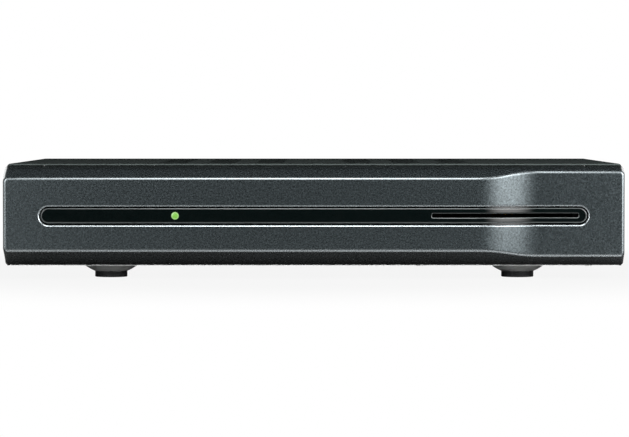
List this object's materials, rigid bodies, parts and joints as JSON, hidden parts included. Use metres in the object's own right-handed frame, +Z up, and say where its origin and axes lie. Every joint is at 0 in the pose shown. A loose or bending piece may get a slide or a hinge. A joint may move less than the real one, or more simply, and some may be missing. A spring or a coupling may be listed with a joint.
{
  "type": "cable television receiver",
  "caption": "Slim set-top receiver: folded steel case, stepped moulded front, dark lens bar with status light and card slot, rear sockets, mains inlet and rocker switch.",
  "frame": {"origin": "on the standing surface under the middle of the object's box", "axes": "+X to the right seen from the front, +Y to the rear, +Z up"},
  "size_m": [0.26, 0.2014, 0.0483],
  "materials": {
    "cover_paint": "fine-textured black paint",
    "zinc_steel": "zinc-coated sheet steel",
    "front_metallic": "dark blue-grey metallic paint on a moulding",
    "lens_black": "polished dark lens",
    "light_green": "clear green",
    "foot_rubber": "matt black rubber",
    "board_green": "green solder mask",
    "board_tan": "tan paper laminate",
    "standoff_brass": "turned brass",
    "nylon_white": "natural nylon",
    "screw_steel": "plated steel",
    "screw_black": "blackened steel",
    "tinned_steel": "tinned",
    "socket_black": "black glass-filled plastic",
    "jack_orange": "orange moulding",
    "chip_black": "moulded chip package",
    "sink_aluminium": "extruded aluminium",
    "can_sleeve": "dark shrink sleeve",
    "ferrite": "pressed ferrite",
    "winding": "enamelled copper",
    "coil_tape": "yellow tape",
    "fuse_glass": "clear glass",
    "contact_gold": "gold-plated spring",
    "switch_brown": "brown moulding",
    "ribbon_white": "white ribbon",
    "wire_red": "red wire",
    "wire_brown": "brown wire"
  },
  "bodies": {
    "case": {"base_tray": "zinc_steel", "rear_panel": "zinc_steel", "top_cover": "cover_paint", "front_bezel": "front_metallic", "lens_bar": "lens_black", "light_pipe": "light_green", "foot_front_left": "foot_rubber", "foot_front_right": "foot_rubber", "foot_rear_left": "foot_rubber", "foot_rear_right": "foot_rubber", "main_board": "board_green", "main_standoffs": "standoff_brass", "main_screws": "screw_steel", "tuner_can": "tinned_steel", "rf_in_socket": "tinned_steel", "rf_out_socket": "tinned_steel", "tv_scart": "socket_black", "vcr_scart": "socket_black", "audio_jack": "jack_orange", "main_processor": "chip_black", "processor_sink": "sink_aluminium", "memory_chips": "chip_black", "board_capacitors": "can_sleeve", "supply_board": "board_tan", "supply_standoffs": "nylon_white", "supply_screws": "screw_steel", "transformer_core": "ferrite", "transformer_coil": "coil_tape", "bulk_capacitor": "can_sleeve", "mains_choke": "winding", "fuse": "fuse_glass", "fuse_clips": "tinned_steel", "supply_sink": "sink_aluminium", "output_capacitors": "can_sleeve", "mains_inlet": "socket_black", "inlet_pins": "tinned_steel", "mains_switch": "socket_black", "front_board": "board_green", "front_screws": "screw_steel", "status_led": "light_green", "infrared_receiver": "socket_black", "reader_bracket": "zinc_steel", "bracket_screws": "screw_steel", "reader_tray": "socket_black", "reader_lid": "socket_black", "reader_screws": "screw_steel", "contact_block": "nylon_white", "card_contacts": "contact_gold", "card_switch": "switch_brown", "ribbon_cable": "ribbon_white", "cable_sockets": "nylon_white", "power_harness": "wire_red", "mains_leads": "wire_brown", "cover_screws": "screw_black", "base_screws": "screw_steel"},
    "rocker": {"mains_rocker": "socket_black"},
    "plunger": {"switch_plunger": "nylon_white"}
  },
  "joints": [
    {"name": "rocker_tilt", "type": "hinge", "parent": "case", "child": "rocker", "pos_m": [-0.0809, 0.08995, 0.0269], "axis": [1, 0, 0], "range_deg": [0, 18]},
    {"name": "plunger_push", "type": "slide", "parent": "case", "child": "plunger", "axis": [0, 1, 0], "range_m": [0, 0.0012], "stiffness_N_per_m": 250, "springref_m": -0.0004}
  ]
}
